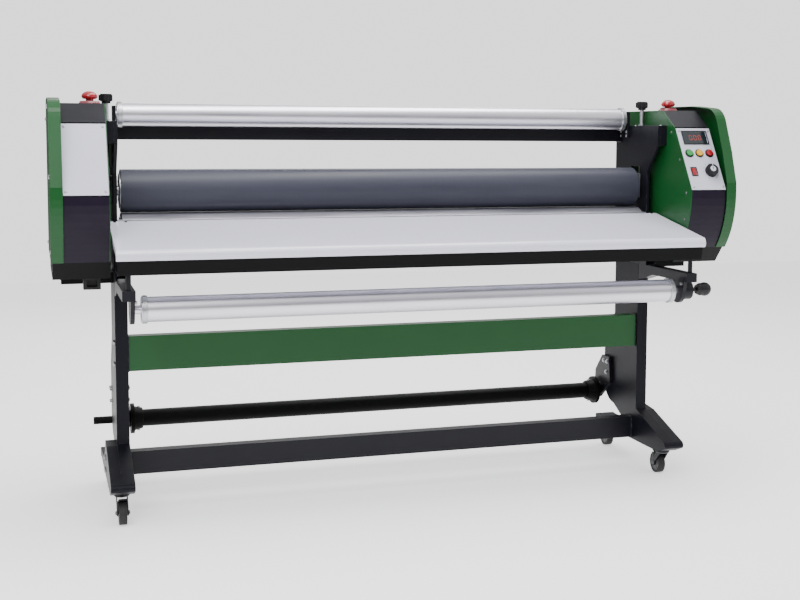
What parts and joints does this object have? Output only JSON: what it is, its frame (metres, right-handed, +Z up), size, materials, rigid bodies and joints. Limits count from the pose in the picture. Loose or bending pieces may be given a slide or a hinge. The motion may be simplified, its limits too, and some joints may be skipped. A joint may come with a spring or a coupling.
{
  "type": "cold roll laminator",
  "caption": "Cold roll laminator on a wheeled stand: silicone pressure roller over a driven roller between end housings, folding feed table, film, print and take-up shafts.",
  "frame": {"origin": "on the floor, midway between the end housings and between the front of the table and the back of the take-up flanges", "axes": "+X along the rollers, to the right seen from the feed side; +Y to the back; +Z up"},
  "size_m": [2.1, 0.68, 1.236],
  "materials": {
    "frame_black": "satin",
    "machine_green": "satin",
    "panel_silver": "satin",
    "fascia_dark": "satin",
    "table_white": "satin",
    "bare_steel": "machined",
    "shaft_aluminium": "satin",
    "lower_rubber": "matt",
    "silicone": "satin",
    "cast_grey": "painted",
    "chain_steel": "oiled",
    "black_plastic": "matt",
    "button_red": "gloss",
    "button_green": "gloss",
    "button_yellow": "gloss",
    "shroud_red": "satin",
    "display": "gloss",
    "circuit_green": "matt",
    "caster_tyre": "matt",
    "zinc": "zinc plated"
  },
  "bodies": {
    "stand_and_housings": {"left_leg": "frame_black", "right_leg": "frame_black", "left_side_plate": "frame_black", "right_side_plate": "frame_black", "front_beam": "machine_green", "lower_tie_bar": "frame_black", "upper_tie_bar": "frame_black", "frame_fasteners": "zinc", "base_trays": "frame_black", "left_outer_cover": "machine_green", "right_outer_cover": "machine_green", "inner_covers": "machine_green", "top_rear_covers": "frame_black", "left_fascia": "panel_silver", "control_panel": "panel_silver", "lower_fascias": "fascia_dark", "display_window": "display", "control_board": "circuit_green", "lower_roller_bearings": "cast_grey", "gearmotor": "cast_grey", "drive_chain": "chain_steel", "pressure_bridges": "frame_black", "power_inlet": "black_plastic", "shaft_brackets": "frame_black", "table_arms": "frame_black", "nip_guide_plate": "shaft_aluminium", "estop_collars": "shroud_red"},
    "lower_roller": {"lower_roller_core": "bare_steel", "lower_roller_sleeve": "lower_rubber", "roller_sprocket": "bare_steel"},
    "drive_output": {"motor_sprocket": "bare_steel"},
    "left_screw": {"left_pressure_screw": "bare_steel", "left_handwheel": "black_plastic"},
    "right_screw": {"right_pressure_screw": "bare_steel", "right_handwheel": "black_plastic"},
    "roller_lift": {"bearing_blocks": "cast_grey"},
    "upper_roller": {"upper_roller_core": "bare_steel", "upper_roller_sleeve": "silicone"},
    "film_roll_shaft": {"film_shaft": "shaft_aluminium"},
    "print_roll_shaft": {"print_shaft": "shaft_aluminium"},
    "brake_screw": {"brake_knob": "black_plastic"},
    "takeup_roll_shaft": {"takeup_shaft": "frame_black", "takeup_flanges": "black_plastic"},
    "folding_table": {"feed_table": "table_white", "table_front_rail": "frame_black"},
    "left_estop": {"left_estop_button": "button_red"},
    "right_estop": {"right_estop_button": "button_red"},
    "speed_dial": {"speed_knob": "black_plastic"},
    "forward_key": {"forward_button": "button_green"},
    "reverse_key": {"reverse_button": "button_yellow"},
    "stop_key": {"stop_button": "button_red"},
    "power_switch": {"power_rocker": "button_red"},
    "front_left_caster": {"front_left_fork": "frame_black"},
    "front_left_caster_wheel": {"front_left_wheel": "caster_tyre"},
    "front_right_caster": {"front_right_fork": "frame_black"},
    "front_right_caster_wheel": {"front_right_wheel": "caster_tyre"},
    "rear_left_caster": {"rear_left_fork": "frame_black"},
    "rear_left_caster_wheel": {"rear_left_wheel": "caster_tyre"},
    "rear_right_caster": {"rear_right_fork": "frame_black"},
    "rear_right_caster_wheel": {"rear_right_wheel": "caster_tyre"}
  },
  "joints": [
    {"name": "lower_roller_spin", "type": "hinge", "parent": "stand_and_housings", "child": "lower_roller", "pos_m": [0, 0.1, 0.816], "axis": [1, 0, 0], "continuous": true},
    {"name": "motor_sprocket_spin", "type": "hinge", "parent": "stand_and_housings", "child": "drive_output", "pos_m": [-0.91, -0.062, 0.79], "axis": [1, 0, 0], "continuous": true},
    {"name": "roller_lift", "type": "slide", "parent": "stand_and_housings", "child": "roller_lift", "axis": [0, 0, 1], "range_m": [0, 0.02]},
    {"name": "left_screw_turn", "type": "hinge", "parent": "stand_and_housings", "child": "left_screw", "pos_m": [-0.8805, 0.1, 1.1], "axis": [0, 0, 1], "range_deg": [0, 1800]},
    {"name": "right_screw_turn", "type": "hinge", "parent": "stand_and_housings", "child": "right_screw", "pos_m": [0.8805, 0.1, 1.1], "axis": [0, 0, 1], "range_deg": [0, 1800]},
    {"name": "upper_roller_spin", "type": "hinge", "parent": "roller_lift", "child": "upper_roller", "pos_m": [0, 0.1, 0.9433], "axis": [1, 0, 0], "continuous": true},
    {"name": "film_shaft_spin", "type": "hinge", "parent": "stand_and_housings", "child": "film_roll_shaft", "pos_m": [0, 0.175, 1.172], "axis": [1, 0, 0], "continuous": true},
    {"name": "print_shaft_spin", "type": "hinge", "parent": "stand_and_housings", "child": "print_roll_shaft", "pos_m": [0, -0.25, 0.631], "axis": [1, 0, 0], "continuous": true},
    {"name": "brake_screw_turn", "type": "hinge", "parent": "stand_and_housings", "child": "brake_screw", "pos_m": [0.9, -0.25, 0.631], "axis": [1, 0, 0], "range_deg": [0, 360]},
    {"name": "takeup_shaft_spin", "type": "hinge", "parent": "stand_and_housings", "child": "takeup_roll_shaft", "pos_m": [0, 0.292, 0.208], "axis": [1, 0, 0], "continuous": true},
    {"name": "table_fold", "type": "hinge", "parent": "stand_and_housings", "child": "folding_table", "pos_m": [0, -0.004, 0.846], "axis": [-1, 0, 0], "range_deg": [0, 75]},
    {"name": "left_estop_press", "type": "slide", "parent": "stand_and_housings", "child": "left_estop", "axis": [0, 0, 1], "range_m": [-0.005, 0], "stiffness_N_per_m": 3000},
    {"name": "right_estop_press", "type": "slide", "parent": "stand_and_housings", "child": "right_estop", "axis": [0, 0, 1], "range_m": [-0.005, 0], "stiffness_N_per_m": 3000},
    {"name": "speed_dial_turn", "type": "hinge", "parent": "stand_and_housings", "child": "speed_dial", "pos_m": [0.97925, -0.19688, 1.00295], "axis": [0, -0.8552, 0.5183], "range_deg": [-150, 150]},
    {"name": "forward_key_press", "type": "slide", "parent": "stand_and_housings", "child": "forward_key", "axis": [0, -0.8552, 0.5183], "range_m": [-0.003, 0], "stiffness_N_per_m": 800},
    {"name": "reverse_key_press", "type": "slide", "parent": "stand_and_housings", "child": "reverse_key", "axis": [0, -0.8552, 0.5183], "range_m": [-0.003, 0], "stiffness_N_per_m": 800},
    {"name": "stop_key_press", "type": "slide", "parent": "stand_and_housings", "child": "stop_key", "axis": [0, -0.8552, 0.5183], "range_m": [-0.003, 0], "stiffness_N_per_m": 800},
    {"name": "power_switch_rock", "type": "hinge", "parent": "stand_and_housings", "child": "power_switch", "pos_m": [0.91925, -0.19431, 1.0014], "axis": [1, 0, 0], "range_deg": [-12, 0]},
    {"name": "front_left_caster_swivel", "type": "hinge", "parent": "stand_and_housings", "child": "front_left_caster", "pos_m": [-0.868, -0.118, 0.08], "axis": [0, 0, 1], "continuous": true},
    {"name": "front_left_wheel_spin", "type": "hinge", "parent": "front_left_caster", "child": "front_left_caster_wheel", "pos_m": [-0.868, -0.15, 0.034], "axis": [1, 0, 0], "continuous": true},
    {"name": "front_right_caster_swivel", "type": "hinge", "parent": "stand_and_housings", "child": "front_right_caster", "pos_m": [0.868, -0.118, 0.08], "axis": [0, 0, 1], "continuous": true},
    {"name": "front_right_wheel_spin", "type": "hinge", "parent": "front_right_caster", "child": "front_right_caster_wheel", "pos_m": [0.868, -0.086, 0.034], "axis": [1, 0, 0], "continuous": true},
    {"name": "rear_left_caster_swivel", "type": "hinge", "parent": "stand_and_housings", "child": "rear_left_caster", "pos_m": [-0.868, 0.274, 0.08], "axis": [0, 0, 1], "continuous": true},
    {"name": "rear_left_wheel_spin", "type": "hinge", "parent": "rear_left_caster", "child": "rear_left_caster_wheel", "pos_m": [-0.868, 0.306, 0.034], "axis": [1, 0, 0], "continuous": true},
    {"name": "rear_right_caster_swivel", "type": "hinge", "parent": "stand_and_housings", "child": "rear_right_caster", "pos_m": [0.868, 0.274, 0.08], "axis": [0, 0, 1], "continuous": true},
    {"name": "rear_right_wheel_spin", "type": "hinge", "parent": "rear_right_caster", "child": "rear_right_caster_wheel", "pos_m": [0.868, 0.306, 0.034], "axis": [1, 0, 0], "continuous": true}
  ],
  "couplings": [
    {"joint": "motor_sprocket_spin", "follows": "lower_roller_spin", "ratio": 1.6667},
    {"joint": "left_screw_turn", "follows": "roller_lift", "rad_per_m": 1570.8},
    {"joint": "right_screw_turn", "follows": "roller_lift", "rad_per_m": 1570.8}
  ]
}
